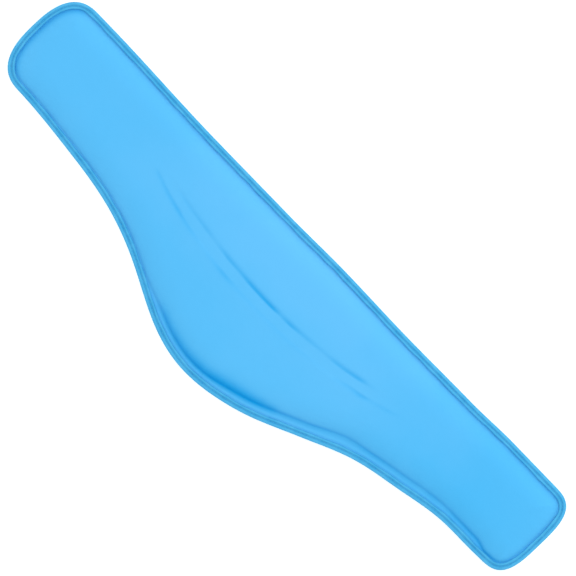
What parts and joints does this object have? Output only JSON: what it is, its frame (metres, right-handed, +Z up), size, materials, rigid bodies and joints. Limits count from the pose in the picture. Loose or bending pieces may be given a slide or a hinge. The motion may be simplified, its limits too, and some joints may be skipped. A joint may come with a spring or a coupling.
{
  "type": "neck ice pack",
  "caption": "Flat contoured gel pack for the neck: two arms and a deep rounded nape part, in a soft fabric cover with a folded tape edge.",
  "frame": {"origin": "under the middle of the pack's box, on the surface that it lies on", "axes": "+X along the pack to its narrower arm, +Y towards its straight edge, away from the deep nape part, +Z up out of the front cover"},
  "size_m": [0.584, 0.1504, 0.0154],
  "materials": {
    "front_cover": "smooth soft light blue fabric, matt",
    "back_cover": "the same light blue fabric, matt",
    "gel_core": "soft gel filling",
    "edge_binding": "folded woven tape, a deeper blue"
  },
  "bodies": {
    "root": {"front_cover": "front_cover", "back_cover": "back_cover", "gel_core": "gel_core", "edge_binding": "edge_binding"}
  },
  "joints": []
}
